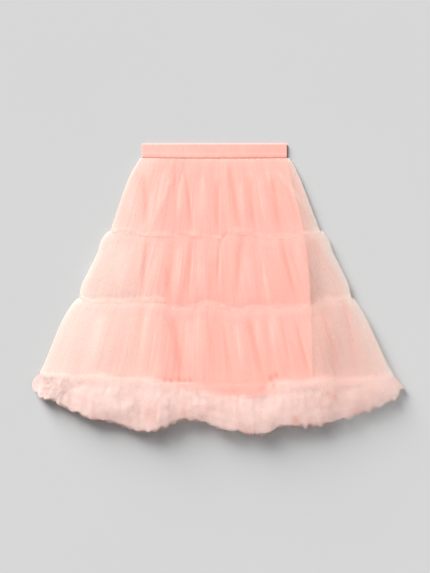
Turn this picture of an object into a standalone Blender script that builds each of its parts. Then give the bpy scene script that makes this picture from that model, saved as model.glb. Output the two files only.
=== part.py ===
"""A tiered tulle skirt laid flat on a surface, front panels on back panels.

X runs across the skirt, Y from the hem up to the waist and Z up from the surface. The pieces are an
elasticated waistband, a plain lining, three gathered tiers of tulle, the gathered heading that stands
above each tier seam, and a full ruffle round the hem. Every piece is a wall of cloth made from a grid
that is laid out in place and thickened, with the front and back of each one joined at the side folds.
"""

import math
from collections import namedtuple

import bmesh
import bpy
import numpy as np

MM = 0.001

# Walls and seams
TULLE_WALL = 1.2 * MM
LINING_WALL = 1.0 * MM
BAND_WALL = 2.2 * MM
RUFFLE_WALL = 1.2 * MM
SEAM_GAP = 0.3 * MM
LAYER_GAP = 0.4 * MM
# A side fold's wall leans a little where front and back meet, by this share of its thickness
FOLD_LEAN = 0.45

# The waistband, pressed flat
BAND_HALF_WIDTH = 164 * MM
BAND_THICKNESS = 5.8 * MM

# Rows and columns of the grids. A gather or a ruffle wave takes four columns, and a side fold three.
WAVE_COLUMNS = 4
FOLD_COLUMNS = 3
BAND_COLUMNS = 18
BAND_ROWS = 2
LINING_COLUMNS = 16
LINING_ROWS = 6
HEADING_ROWS = 1

# How far the front sinks from its middle to its sides, as a share of its height over the flat layers
SIDE_DROOP = 0.35
FLAT_LAYERS = BAND_THICKNESS
# The share of a wave that lies flat on the surface, under the back
RESTING_SHARE = 0.35

# One row for each section across a tier, from its upper seam (share 0) to its lower seam (share 1).
# Left and right are the half widths, crown is the height of the front, side that of the side fold, all
# in millimetres.
Section = namedtuple("Section", "share left right crown side")
TIER_1_SECTIONS = (
    Section(0.00, 168, 169, 5.8, 2.9),
    Section(0.09, 177, 179, 10.5, 3.8),
    Section(0.25, 192, 192, 14.5, 5.2),
    Section(0.41, 203, 202, 16.0, 6.2),
    Section(0.73, 221, 222, 18.0, 7.4),
    Section(0.93, 232, 235, 17.5, 7.4),
    Section(1.00, 236, 239, 15.0, 6.8),
)
TIER_2_SECTIONS = (
    Section(0.00, 241, 243, 15.0, 6.8),
    Section(0.15, 257, 258, 20.5, 8.2),
    Section(0.30, 264, 266, 22.5, 9.2),
    Section(0.60, 286, 288, 24.0, 10.0),
    Section(0.80, 300, 303, 23.0, 10.0),
    Section(1.00, 305, 310, 18.0, 8.8),
)
TIER_3_SECTIONS = (
    Section(0.00, 310, 313, 18.0, 8.8),
    Section(0.10, 324, 326, 24.0, 10.4),
    Section(0.29, 343, 345, 27.5, 11.8),
    Section(0.60, 365, 370, 30.0, 12.8),
    Section(0.90, 387, 394, 27.5, 12.8),
    Section(1.00, 396, 404, 23.0, 12.0),
)

# One row for each point of a seam as it lies: across is the place along X, and down the distance below
# the waist's upper edge, in millimetres.
SeamPoint = namedtuple("SeamPoint", "across down")
WAIST_SEAM = (
    SeamPoint(-168, 32),
    SeamPoint(0, 33),
    SeamPoint(169, 32),
)
FRONT_SEAM_1 = (
    SeamPoint(-243, 199),
    SeamPoint(-195, 202),
    SeamPoint(-150, 208),
    SeamPoint(-53, 208),
    SeamPoint(14, 215),
    SeamPoint(40, 204),
    SeamPoint(91, 206),
    SeamPoint(118, 211),
    SeamPoint(160, 212),
    SeamPoint(190, 205),
    SeamPoint(243, 197),
)
FRONT_SEAM_2 = (
    SeamPoint(-310, 350),
    SeamPoint(-258, 358),
    SeamPoint(-185, 357),
    SeamPoint(-115, 358),
    SeamPoint(-76, 374),
    SeamPoint(-21, 367),
    SeamPoint(39, 380),
    SeamPoint(102, 373),
    SeamPoint(210, 371),
    SeamPoint(262, 354),
    SeamPoint(313, 348),
)
BACK_SEAM_1 = (
    SeamPoint(-243, 199),
    SeamPoint(0, 188),
    SeamPoint(243, 197),
)
BACK_SEAM_2 = (
    SeamPoint(-310, 350),
    SeamPoint(-170, 312),
    SeamPoint(0, 306),
    SeamPoint(190, 318),
    SeamPoint(313, 348),
)
HEM_SEAM = (
    SeamPoint(-396, 519),
    SeamPoint(-150, 534),
    SeamPoint(60, 542),
    SeamPoint(250, 536),
    SeamPoint(404, 522),
)

# One row for each deep fold that runs down the front through all three tiers: its place along X at the
# waist, at the two tier seams and at the hem, and how much deeper than the gathers it is, in millimetres.
Fold = namedtuple("Fold", "waist seam_1 seam_2 hem extra_depth")
DEEP_FOLDS = (
    Fold(-140, -154, -164, -168, 2.4),
    Fold(-79, -51, -62, -76, 2.6),
    Fold(-4, 6, 12, 48, 2.2),
    Fold(36, 63, 78, 97, 3.0),
    Fold(83, 104, 118, 140, 1.8),
    Fold(126, 158, 184, 211, 2.6),
    Fold(150, 212, 270, 322, 1.6),
)

# The seams above and below each tier on the front and back, and its gathers: how many there are on each
# side, and how deep they are in the middle of the tier, in millimetres
Tier = namedtuple("Tier", "name sections levels front_seams back_seams gathers depth back_gathers back_depth")
TIERS = (
    Tier(
        name="tier_1",
        sections=TIER_1_SECTIONS,
        levels=("waist", "seam_1"),
        front_seams=(WAIST_SEAM, FRONT_SEAM_1),
        back_seams=(WAIST_SEAM, BACK_SEAM_1),
        gathers=22,
        depth=3.2,
        back_gathers=8,
        back_depth=2.2,
    ),
    Tier(
        name="tier_2",
        sections=TIER_2_SECTIONS,
        levels=("seam_1", "seam_2"),
        front_seams=(FRONT_SEAM_1, FRONT_SEAM_2),
        back_seams=(BACK_SEAM_1, BACK_SEAM_2),
        gathers=24,
        depth=5.0,
        back_gathers=8,
        back_depth=3.6,
    ),
    Tier(
        name="tier_3",
        sections=TIER_3_SECTIONS,
        levels=("seam_2", "hem"),
        front_seams=(FRONT_SEAM_2, HEM_SEAM),
        back_seams=(BACK_SEAM_2, HEM_SEAM),
        gathers=26,
        depth=6.5,
        back_gathers=10,
        back_depth=4.8,
    ),
)
FRONT_ROWS = 4
BACK_ROWS = 3
# The share of a tier's length over which its gathers open below the upper seam and close above the lower
GATHERS_OPEN = 0.16
GATHERS_CLOSE = 0.30

# The headings: the gathered upper edge of a tier that stands above its seam
HEADING_LENGTH = 10 * MM
HEADING_RISE = 5 * MM
HEADING_WAVE = 1.6 * MM

# The lining: its half widths, in millimetres, and the height that its underside lies at
LiningSection = namedtuple("LiningSection", "share left right height")
LINING_SECTIONS = (
    LiningSection(0.00, 160, 160, 1.6),
    LiningSection(0.05, 163, 168, 3.8),
    LiningSection(0.12, 162, 176, 4.4),
    LiningSection(0.34, 160, 203, 5.6),
    LiningSection(0.58, 158, 216, 6.8),
    LiningSection(1.00, 172, 222, 8.0),
)
LINING_LENGTH = 500 * MM
LINING_HEM_SAG = 5 * MM

# One row for each rib of the hem ruffle, from the left side fold to the right: where it leaves the hem
# seam along X, and where its outer edge lies, across and below the waist's upper edge, in millimetres.
Rib = namedtuple("Rib", "root edge_across edge_down")
RUFFLE_RIBS = (
    Rib(-396, -413, 543),
    Rib(-383, -407, 564),
    Rib(-360, -385, 576),
    Rib(-330, -350, 589),
    Rib(-300, -313, 607),
    Rib(-262, -272, 622),
    Rib(-226, -233, 627),
    Rib(-190, -195, 641),
    Rib(-160, -168, 650),
    Rib(-128, -130, 645),
    Rib(-95, -97, 636),
    Rib(-62, -62, 622),
    Rib(-28, -28, 626),
    Rib(8, 8, 640),
    Rib(45, 46, 648),
    Rib(80, 82, 656),
    Rib(112, 116, 653),
    Rib(146, 150, 639),
    Rib(184, 190, 637),
    Rib(216, 224, 635),
    Rib(250, 262, 627),
    Rib(286, 304, 618),
    Rib(320, 345, 605),
    Rib(352, 385, 586),
    Rib(382, 418, 568),
    Rib(404, 431, 546),
)
# How the front ruffle puffs up between the hem seam (share 0) and its edge (share 1): its height and how
# deep its waves are, in millimetres
PuffPoint = namedtuple("PuffPoint", "share height wave_depth")
RUFFLE_PUFF = (
    PuffPoint(0.00, 22, 0),
    PuffPoint(0.16, 40, 6),
    PuffPoint(0.40, 52, 9),
    PuffPoint(0.72, 42, 9),
    PuffPoint(1.00, 19, 6),
)
RUFFLE_DROOP = 0.30
RUFFLE_SIDE = 10 * MM
RUFFLE_WAVES = 32
RUFFLE_ROWS = 5
RUFFLE_EDGE_SCALLOP = 2.5 * MM
BACK_RUFFLE_WAVES = 16
BACK_RUFFLE_WAVE_DEPTH = 7 * MM
BACK_RUFFLE_ROWS = 3
# The share of the hem over which the ruffle flattens towards each side fold
RUFFLE_END = 0.07

# Base colours, with roughness
Cloth = namedtuple("Cloth", "colour roughness")
BAND_CLOTH = Cloth((0.97, 0.54, 0.46), 0.60)
LINING_CLOTH = Cloth((0.96, 0.50, 0.43), 0.55)
TULLE_CLOTH = Cloth((0.98, 0.58, 0.50), 0.80)
RUFFLE_CLOTH = Cloth((0.95, 0.72, 0.66), 0.85)


def smooth_curve(at, places, values):
    """Values read at the given places from a smooth curve that never overshoots its points."""
    places, values = np.asarray(places, float), np.asarray(values, float)
    steps = np.diff(places)
    rises = np.diff(values) / steps
    slopes = np.zeros(len(values))
    slopes[0], slopes[-1] = rises[0], rises[-1]
    same_way = rises[:-1] * rises[1:] > 0
    inner = 2 * rises[:-1] * rises[1:] / np.where(same_way, rises[:-1] + rises[1:], 1)
    slopes[1:-1] = np.where(same_way, inner, 0)
    at = np.clip(at, places[0], places[-1])
    k = np.clip(np.searchsorted(places, at, side="right") - 1, 0, len(steps) - 1)
    t = (at - places[k]) / steps[k]
    return (
        values[k] * (1 + 2 * t) * (1 - t) ** 2
        + slopes[k] * steps[k] * t * (1 - t) ** 2
        + values[k + 1] * t * t * (3 - 2 * t)
        + slopes[k + 1] * steps[k] * t * t * (t - 1)
    )


def column(rows, name):
    return [getattr(row, name) for row in rows]


def read(rows, name, at, by="share"):
    """A named column of a table in millimetres, read along its `by` column and given in metres."""
    return smooth_curve(at, column(rows, by), column(rows, name)) * MM


def seam_line(seam, x):
    """How far below the waist's upper edge a seam lies at x."""
    return read(seam, "down", x / MM, by="across")


def ease(t):
    t = np.clip(t, 0, 1)
    return t * t * (3 - 2 * t)


def wave(share, count):
    """A wave across a piece: 0 on each crest and 1 in each trough, with a crest at both ends."""
    return 0.5 - 0.5 * np.cos(2 * math.pi * count * share)


def ridge(share, count):
    """The back's wave: 1 on each ridge, and 0 where the cloth lies flat on the surface."""
    raised = np.cos(2 * math.pi * count * share + math.pi)
    return np.clip((raised - RESTING_SHARE) / (1 - RESTING_SHARE), 0, 1)


def opening(share):
    """How open a tier's gathers are: closed at both seams."""
    return ease(share / GATHERS_OPEN) * ease((1 - share) / GATHERS_CLOSE)


def split_columns(u, columns):
    """The share across the flat part of a grid, and how far round the left and right side folds."""
    i = (u + 1) / 2 * columns
    share = np.clip((i - FOLD_COLUMNS) / (columns - 2 * FOLD_COLUMNS), 0, 1)
    left = np.clip(1 - i / FOLD_COLUMNS, 0, 1) * math.pi / 2
    right = np.clip(1 - (columns - i) / FOLD_COLUMNS, 0, 1) * math.pi / 2
    return share, left, right


def fold_troughs(tier):
    """For each deep fold, the trough of the tier's gathers that follows it, as a share across."""
    troughs = []
    for fold in DEEP_FOLDS:
        shares = []
        for level, section in zip(tier.levels, (tier.sections[0], tier.sections[-1])):
            shares.append((getattr(fold, level) + section.left) / (section.left + section.right))
        nearest = round(sum(shares) / 2 * tier.gathers - 0.5)
        troughs.append((nearest + 0.5) / tier.gathers)
    return troughs


def follow_folds(tier, share, down, left, right):
    """Moves the columns of a front tier sideways, so that the chosen troughs run along the deep folds."""
    troughs = [0, *fold_troughs(tier), 1]
    moved = np.empty_like(share)
    for row in np.unique(down):
        at = down == row
        wide = left[at][0] + right[at][0]
        places = [0]
        for fold in DEEP_FOLDS:
            start, end = (getattr(fold, level) * MM for level in tier.levels)
            places.append((start + (end - start) * row + left[at][0]) / wide)
        moved[at] = np.interp(share[at], troughs, [*places, 1])
    return moved


def deep_fold_shape(tier, share):
    """The extra depth of the deep folds, in metres, over the gathers of a tier."""
    extra = np.zeros_like(share)
    for fold, trough in zip(DEEP_FOLDS, fold_troughs(tier)):
        near = np.clip(1 - abs(share - trough) * tier.gathers, 0, 1)
        extra = np.maximum(extra, ease(near) * fold.extra_depth * MM)
    return extra


def tier_across(sections, share, down, left_turn, right_turn, fold_width):
    """Places along X on a tier: flat between the side folds, and rounded over them."""
    left, right = read(sections, "left", down), read(sections, "right", down)
    flat = -(left - fold_width) + share * (left + right - 2 * fold_width)
    return flat - fold_width * np.sin(left_turn) + fold_width * np.sin(right_turn)


def drooped(crown, x, left, right):
    """The height of the front at x, lower towards the side folds than its crown."""
    return crown - SIDE_DROOP * (crown - FLAT_LAYERS) * (x / np.where(x < 0, left, right)) ** 2


def seams_between(seams, x, down):
    """Places along Y on a tier, from its upper seam to its lower one."""
    upper = seam_line(seams[0], x) + SEAM_GAP / 2
    lower = seam_line(seams[1], x) - SEAM_GAP / 2
    return -(upper + (lower - upper) * down)


def tier_front(tier):
    columns = tier.gathers * WAVE_COLUMNS + 2 * FOLD_COLUMNS

    def place(u, down):
        share, left_turn, right_turn = split_columns(u, columns)
        left, right = read(tier.sections, "left", down), read(tier.sections, "right", down)
        crown, side = read(tier.sections, "crown", down), read(tier.sections, "side", down)
        moved = follow_folds(tier, share, down, left, right)
        x = tier_across(tier.sections, moved, down, left_turn, right_turn, crown - side)
        depth = tier.depth * MM * wave(share, tier.gathers) + deep_fold_shape(tier, share)
        top = drooped(crown, x, left, right) - depth * opening(down)
        turn = np.cos(np.maximum(left_turn, right_turn))
        side = side + SEAM_GAP / 2 + FOLD_LEAN * TULLE_WALL
        return x, seams_between(tier.front_seams, x, down), side + (top - side) * turn

    cloth_sheet(tier.name + "_front", columns, FRONT_ROWS, place, -TULLE_WALL, TULLE_CLOTH)


def tier_back(tier):
    columns = tier.back_gathers * WAVE_COLUMNS + 2 * FOLD_COLUMNS

    def place(u, down):
        share, left_turn, right_turn = split_columns(u, columns)
        side, crown = read(tier.sections, "side", down), read(tier.sections, "crown", down)
        x = tier_across(tier.sections, share, down, left_turn, right_turn, crown - side)
        lift = tier.back_depth * MM * ridge(share, tier.back_gathers) * opening(down)
        turn = np.cos(np.maximum(left_turn, right_turn))
        side = side - SEAM_GAP / 2 - FOLD_LEAN * TULLE_WALL
        return x, seams_between(tier.back_seams, x, down), side + (lift - side) * turn

    cloth_sheet(tier.name + "_back", columns, BACK_ROWS, place, TULLE_WALL, TULLE_CLOTH)


def heading(tier, tier_above):
    """The gathered upper edge of a tier, standing above its seam and leaning on the tier above."""
    columns = tier.gathers * WAVE_COLUMNS

    def place(u, down):
        share = (u + 1) / 2
        height = 1 - down
        upper_seam, lower_seam = tier_above.front_seams
        at = 1 - height * HEADING_LENGTH / MM / (lower_seam[0].down - upper_seam[0].down)
        left, right = read(tier_above.sections, "left", at), read(tier_above.sections, "right", at)
        crown, side = read(tier_above.sections, "crown", at), read(tier_above.sections, "side", at)
        fold_width = crown - side
        x = -(left - fold_width) + share * (left + right - 2 * fold_width)
        rise = HEADING_RISE * height + HEADING_WAVE * height * np.cos(2 * math.pi * tier.gathers * share)
        y = -seam_line(lower_seam, x) + SEAM_GAP + HEADING_LENGTH * height
        return x, y, drooped(crown, x, left, right) + SEAM_GAP + rise

    cloth_sheet("heading_" + tier.name[-1], columns, HEADING_ROWS, place, TULLE_WALL, TULLE_CLOTH)


def waistband(is_front):
    columns = BAND_COLUMNS + 2 * FOLD_COLUMNS
    middle = BAND_THICKNESS / 2

    def place(u, down):
        share, left_turn, right_turn = split_columns(u, columns)
        turn = np.cos(np.maximum(left_turn, right_turn))
        flat = (share * 2 - 1) * (BAND_HALF_WIDTH - middle)
        x = flat - middle * np.sin(left_turn) + middle * np.sin(right_turn)
        apart = SEAM_GAP / 2 + FOLD_LEAN * BAND_WALL
        z = middle + apart + (middle - apart) * turn if is_front else (middle - apart) * (1 - turn)
        length = seam_line(WAIST_SEAM, x) - SEAM_GAP / 2
        return x, -length * down, z

    name, wall = ("waistband_front", -BAND_WALL) if is_front else ("waistband_back", BAND_WALL)
    cloth_sheet(name, columns, BAND_ROWS, place, wall, BAND_CLOTH)


def lining(is_front):
    """The plain A-line lining between the front and back tulle, its two panels lying on each other."""
    raised = LINING_WALL + LAYER_GAP if is_front else 0

    def place(u, down):
        left, right = (read(LINING_SECTIONS, side, down) for side in ("left", "right"))
        x = -left + (u + 1) / 2 * (left + right)
        upper = seam_line(WAIST_SEAM, x) + SEAM_GAP / 2
        lower = upper + LINING_LENGTH + LINING_HEM_SAG * (1 - u * u)
        z = read(LINING_SECTIONS, "height", down) + raised
        return x, -(upper + (lower - upper) * down), z

    name = "lining_front" if is_front else "lining_back"
    cloth_sheet(name, LINING_COLUMNS, LINING_ROWS, place, LINING_WALL, LINING_CLOTH)


def rib_place(share, down):
    """Places along X and Y on the hem ruffle, from the hem seam out to its edge."""
    along = np.linspace(0, 1, len(RUFFLE_RIBS))
    root = smooth_curve(share, along, column(RUFFLE_RIBS, "root")) * MM
    edge_x = smooth_curve(share, along, column(RUFFLE_RIBS, "edge_across")) * MM
    edge_y = -smooth_curve(share, along, column(RUFFLE_RIBS, "edge_down")) * MM
    root_y = -seam_line(HEM_SEAM, root) - SEAM_GAP
    return root + (edge_x - root) * down, root_y + (edge_y - root_y) * down


def hem_ruffle(is_front):
    waves = RUFFLE_WAVES if is_front else BACK_RUFFLE_WAVES
    rows = RUFFLE_ROWS if is_front else BACK_RUFFLE_ROWS
    apart = SEAM_GAP / 2 + RUFFLE_WALL

    def place(u, down):
        share = (u + 1) / 2
        x, y = rib_place(share, down)
        inside = ease(share / RUFFLE_END) * ease((1 - share) / RUFFLE_END)
        y = y - RUFFLE_EDGE_SCALLOP * down * np.cos(2 * math.pi * waves * share) * inside
        if is_front:
            crown = read(RUFFLE_PUFF, "height", down) * (1 - RUFFLE_DROOP * (share * 2 - 1) ** 2)
            top = crown - read(RUFFLE_PUFF, "wave_depth", down) * wave(share, waves)
            side = RUFFLE_SIDE + apart
        else:
            top = BACK_RUFFLE_WAVE_DEPTH * ridge(share, waves) * ease(down / GATHERS_CLOSE)
            side = RUFFLE_SIDE - apart
        return x, y, side + (top - side) * inside

    name, wall = ("hem_ruffle_front", -RUFFLE_WALL) if is_front else ("hem_ruffle_back", RUFFLE_WALL)
    cloth_sheet(name, waves * WAVE_COLUMNS, rows, place, wall, RUFFLE_CLOTH)


def cloth_sheet(name, columns, rows, place, wall, cloth):
    """A wall of cloth. Its grid is laid out by place(u, down), where u runs from -1 to 1 across and down
    from 0 to 1, and thickened along its normals: upwards for a positive wall, downwards for a negative.
    """
    grid = bmesh.new()
    bmesh.ops.create_grid(grid, x_segments=columns, y_segments=rows, size=1)
    points = np.array([v.co for v in grid.verts])
    u = np.round(points[:, 0] * columns) / columns
    down = np.round((1 - points[:, 1]) / 2 * rows) / rows
    for vert, co in zip(grid.verts, np.column_stack(place(u, down))):
        vert.co = co
    mesh = bpy.data.meshes.new(name)
    grid.to_mesh(mesh)
    grid.free()
    mesh.shade_smooth()
    obj = bpy.data.objects.new(name, mesh)
    thicken = obj.modifiers.new("wall", "SOLIDIFY")
    thicken.thickness = abs(wall)
    thicken.offset = math.copysign(1, wall)
    obj.data.materials.append(material(name, cloth))
    skirt.objects.link(obj)


def material(name, cloth):
    made = bpy.data.materials.new(name)
    made.use_nodes = True
    shader = made.node_tree.nodes["Principled BSDF"]
    shader.inputs["Base Color"].default_value = (*cloth.colour, 1)
    shader.inputs["Roughness"].default_value = cloth.roughness
    shader.inputs["Metallic"].default_value = 0
    return made


def centre_on_origin():
    """Moves every piece so that the origin is under the middle of the whole skirt."""
    bpy.context.view_layer.update()
    graph = bpy.context.evaluated_depsgraph_get()
    corners = np.array([c for obj in skirt.objects for c in obj.evaluated_get(graph).bound_box])
    middle = (corners.min(0) + corners.max(0)) / 2
    for obj in skirt.objects:
        for vert in obj.data.vertices:
            vert.co.x -= middle[0]
            vert.co.y -= middle[1]


for old in list(bpy.data.objects):
    bpy.data.objects.remove(old)
skirt = bpy.data.collections.new("tulle_skirt")
bpy.context.scene.collection.children.link(skirt)

for front in (True, False):
    waistband(front)
    lining(front)
    hem_ruffle(front)
for one_tier in TIERS:
    tier_front(one_tier)
    tier_back(one_tier)
heading(TIERS[1], TIERS[0])
heading(TIERS[2], TIERS[1])
centre_on_origin()
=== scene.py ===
"""The looks of a tiered tulle skirt that is laid flat and seen from straight above.

Every piece of cloth is a flattened tube, made on a grid of rows and columns: the columns run across the
front, round the right side fold, back along the underside and round the left side fold.
"""

import math
from collections import namedtuple

import bpy
import numpy as np
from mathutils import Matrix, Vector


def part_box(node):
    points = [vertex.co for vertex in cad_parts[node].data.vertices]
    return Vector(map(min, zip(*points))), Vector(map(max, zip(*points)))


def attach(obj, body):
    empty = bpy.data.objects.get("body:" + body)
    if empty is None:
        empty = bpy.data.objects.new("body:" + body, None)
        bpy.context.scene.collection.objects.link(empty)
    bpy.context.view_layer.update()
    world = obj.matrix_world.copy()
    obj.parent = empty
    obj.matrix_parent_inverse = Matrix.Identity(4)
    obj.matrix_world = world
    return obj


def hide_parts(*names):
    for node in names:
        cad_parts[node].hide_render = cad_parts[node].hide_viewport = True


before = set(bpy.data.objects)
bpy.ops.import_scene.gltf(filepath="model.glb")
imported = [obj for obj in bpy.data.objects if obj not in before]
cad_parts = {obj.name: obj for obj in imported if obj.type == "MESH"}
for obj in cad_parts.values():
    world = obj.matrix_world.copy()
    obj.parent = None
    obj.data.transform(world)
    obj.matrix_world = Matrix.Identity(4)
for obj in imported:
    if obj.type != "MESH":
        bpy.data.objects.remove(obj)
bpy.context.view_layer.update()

MM = 0.001
PHOTO_WIDTH, PHOTO_HEIGHT = 430, 573
PIXEL = 2.25 * MM

# Places below are across, from the middle of the waist, and down, from its upper edge
band_low, band_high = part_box("waistband_front")
MIDDLE = (band_low.x + band_high.x) / 2
WAIST = band_high.y
FLOOR_CLEARANCE = 0.4 * MM
BAND_DEPTH = 32 * MM

# Half widths, the height of the front and of the side fold across each tier, in millimetres
Section = namedtuple("Section", "share left right crown side")
TIER_1_SECTIONS = (
    Section(0.00, 168, 169, 5.8, 2.9),
    Section(0.09, 177, 179, 10.5, 3.8),
    Section(0.25, 192, 192, 14.5, 5.2),
    Section(0.41, 203, 202, 16.0, 6.2),
    Section(0.73, 221, 222, 18.0, 7.4),
    Section(0.93, 232, 235, 17.5, 7.4),
    Section(1.00, 236, 239, 15.0, 6.8),
)
TIER_2_SECTIONS = (
    Section(0.00, 241, 243, 15.0, 6.8),
    Section(0.15, 257, 258, 20.5, 8.2),
    Section(0.30, 264, 266, 22.5, 9.2),
    Section(0.60, 286, 288, 24.0, 10.0),
    Section(0.80, 300, 303, 23.0, 10.0),
    Section(1.00, 305, 310, 18.0, 8.8),
)
TIER_3_SECTIONS = (
    Section(0.00, 310, 313, 18.0, 8.8),
    Section(0.10, 324, 326, 24.0, 10.4),
    Section(0.29, 343, 345, 27.5, 11.8),
    Section(0.60, 365, 370, 30.0, 12.8),
    Section(0.90, 387, 394, 29.0, 12.8),
    Section(1.00, 396, 404, 27.5, 12.0),
)

# Seams as they lie, in millimetres
SeamPoint = namedtuple("SeamPoint", "across down")
WAIST_SEAM = (SeamPoint(-168, 32), SeamPoint(0, 33), SeamPoint(169, 32))
FRONT_SEAM_1 = (
    SeamPoint(-243, 199),
    SeamPoint(-195, 202),
    SeamPoint(-150, 208),
    SeamPoint(-53, 208),
    SeamPoint(14, 215),
    SeamPoint(30, 204),
    SeamPoint(91, 206),
    SeamPoint(118, 211),
    SeamPoint(160, 212),
    SeamPoint(190, 205),
    SeamPoint(243, 197),
)
FRONT_SEAM_2 = (
    SeamPoint(-310, 350),
    SeamPoint(-258, 358),
    SeamPoint(-185, 357),
    SeamPoint(-115, 358),
    SeamPoint(-96, 374),
    SeamPoint(-60, 374),
    SeamPoint(-21, 364),
    SeamPoint(20, 370),
    SeamPoint(45, 380),
    SeamPoint(102, 373),
    SeamPoint(200, 371),
    SeamPoint(240, 356),
    SeamPoint(313, 348),
)
BACK_SEAM_1 = (SeamPoint(-243, 199), SeamPoint(0, 188), SeamPoint(243, 197))
BACK_SEAM_2 = (
    SeamPoint(-310, 350),
    SeamPoint(-170, 312),
    SeamPoint(0, 306),
    SeamPoint(190, 318),
    SeamPoint(313, 348),
)
HEM_SEAM = (
    SeamPoint(-396, 519),
    SeamPoint(-150, 534),
    SeamPoint(60, 542),
    SeamPoint(250, 536),
    SeamPoint(404, 522),
)

# The main creases: where each starts and ends across the tier's upper and lower seam, the
# shares of the tier's length that it spans, its half width and its height, below 0 for a trough, in
# millimetres
Crease = namedtuple("Crease", "upper lower start end width height")
TIER_1_CREASES = (
    Crease(-163, -148, 0.12, 1.10, 9, -5.5),
    Crease(-184, -190, 0.25, 1.00, 12, 2.0),
    Crease(-84, -141, 0.22, 0.80, 7, 3.0),
    Crease(-86, -92, -0.10, 0.58, 4, -2.8),
    Crease(-76, -78, 0.28, 0.85, 6, 2.5),
    Crease(-69, -46, -0.10, 1.10, 5, -4.5),
    Crease(-24, -26, 0.20, 0.98, 14, 3.0),
    Crease(-17, -15, 0.08, 0.45, 4, -2.2),
    Crease(8, 8, 0.25, 1.10, 6, -4.5),
    Crease(31, 59, 0.02, 1.10, 8, -5.5),
    Crease(56, 71, 0.25, 1.05, 5, 3.2),
    Crease(79, 93, 0.22, 1.10, 6, -4.0),
    Crease(98, 122, 0.18, 0.95, 9, 3.0),
    Crease(112, 160, 0.08, 0.75, 5, 2.6),
    Crease(122, 152, 0.22, 1.10, 7, -5.5),
    Crease(122, 250, 0.10, 0.85, 6, 4.0),
)
TIER_2_CREASES = (
    Crease(-205, -215, 0.10, 1.05, 20, 2.0),
    Crease(-152, -164, -0.10, 1.10, 7, -6.5),
    Crease(-108, -96, 0.40, 1.10, 10, -5.0),
    Crease(-78, -78, 0.08, 0.98, 9, 3.0),
    Crease(-50, -58, -0.10, 1.00, 6, -4.2),
    Crease(-26, -26, 0.35, 1.05, 9, 2.5),
    Crease(-3, -6, 0.28, 1.10, 10, -3.5),
    Crease(12, 6, -0.10, 0.80, 4, -4.0),
    Crease(64, 48, -0.10, 0.98, 9, -5.0),
    Crease(66, 95, 0.25, 1.08, 9, 2.8),
    Crease(108, 108, 0.15, 0.85, 4, -1.6),
    Crease(102, 127, 0.50, 1.08, 8, 2.0),
    Crease(150, 190, -0.10, 1.10, 7, -6.5),
    Crease(205, 306, 0.05, 1.00, 12, -4.0),
    Crease(232, 290, 0.10, 0.90, 10, 2.5),
)
TIER_3_CREASES = (
    Crease(-332, -380, 0.20, 1.00, 14, -2.4),
    Crease(-250, -286, 0.05, 1.00, 18, 3.0),
    Crease(-205, -222, 0.10, 0.95, 10, -2.2),
    Crease(-162, -178, -0.10, 1.00, 8, -5.0),
    Crease(-94, -68, 0.02, 1.10, 11, -8.5),
    Crease(-57, -48, 0.05, 0.90, 9, 3.4),
    Crease(-16, 8, -0.10, 0.85, 8, -4.5),
    Crease(14, 46, 0.08, 1.10, 8, -5.0),
    Crease(46, 76, 0.10, 0.90, 8, 3.0),
    Crease(74, 116, 0.05, 1.10, 9, -7.5),
    Crease(126, 150, 0.05, 0.60, 7, 3.0),
    Crease(146, 184, 0.05, 0.80, 4, -3.4),
    Crease(178, 222, 0.15, 1.00, 5, -5.5),
    Crease(236, 288, 0.08, 1.05, 8, -4.0),
    Crease(290, 332, -0.10, 0.92, 8, -4.0),
    Crease(330, 388, 0.20, 1.05, 8, -3.6),
)
# Those on the back of each tier, which lies on the surface
BACK_CREASES = (
    Crease(-150, -210, 0.00, 1.00, 10, 3.0),
    Crease(-96, -120, -0.10, 0.80, 7, 2.2),
    Crease(-30, -60, 0.20, 1.10, 9, 3.2),
    Crease(26, 40, -0.10, 0.90, 8, 2.8),
    Crease(84, 120, 0.10, 1.10, 10, 3.2),
    Crease(140, 205, 0.00, 0.85, 7, 2.4),
)

# For each tier: its seams, how deep its gathers are, and how many cells of gathers go round it
Tier = namedtuple("Tier", "number sections front_seams back_seams creases depth cells cut")
TIERS = (
    Tier(
        number=1,
        sections=TIER_1_SECTIONS,
        front_seams=(WAIST_SEAM, FRONT_SEAM_1),
        back_seams=(WAIST_SEAM, BACK_SEAM_1),
        creases=TIER_1_CREASES,
        depth=3.4,
        cells=70,
        cut=(0.90, 0.18),
    ),
    Tier(
        number=2,
        sections=TIER_2_SECTIONS,
        front_seams=(FRONT_SEAM_1, FRONT_SEAM_2),
        back_seams=(BACK_SEAM_1, BACK_SEAM_2),
        creases=TIER_2_CREASES,
        depth=4.6,
        cells=84,
        cut=(1.25, 0.16),
    ),
    Tier(
        number=3,
        sections=TIER_3_SECTIONS,
        front_seams=(FRONT_SEAM_2, HEM_SEAM),
        back_seams=(BACK_SEAM_2, HEM_SEAM),
        creases=TIER_3_CREASES,
        depth=5.6,
        cells=96,
        cut=(1.60, 0.20),
    ),
)

# The nets of a tier, from the outside in: how far in it lies, as a share of the room over the lining, its
# columns and rows, and how much it covers where it lies flat
Net = namedtuple("Net", "name inward front back rows cover")
NETS = (
    Net("net", 0.0, 420, 160, 56, 0.42),
    Net("under_net", 0.45, 260, 110, 36, 0.40),
)
FOLD_COLUMNS = 14

# Where the heading of a tier stands out more, and by how much of its height
HeadingPuff = namedtuple("HeadingPuff", "tier across half_width longer")
HEADING_PUFFS = (
    HeadingPuff(2, -205, 30, 0.15),
    HeadingPuff(2, 55, 26, 0.35),
    HeadingPuff(3, -134, 20, 0.75),
    HeadingPuff(3, -18, 14, 0.35),
    HeadingPuff(3, 30, 16, 0.30),
    HeadingPuff(3, 225, 16, 0.30),
)

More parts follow.
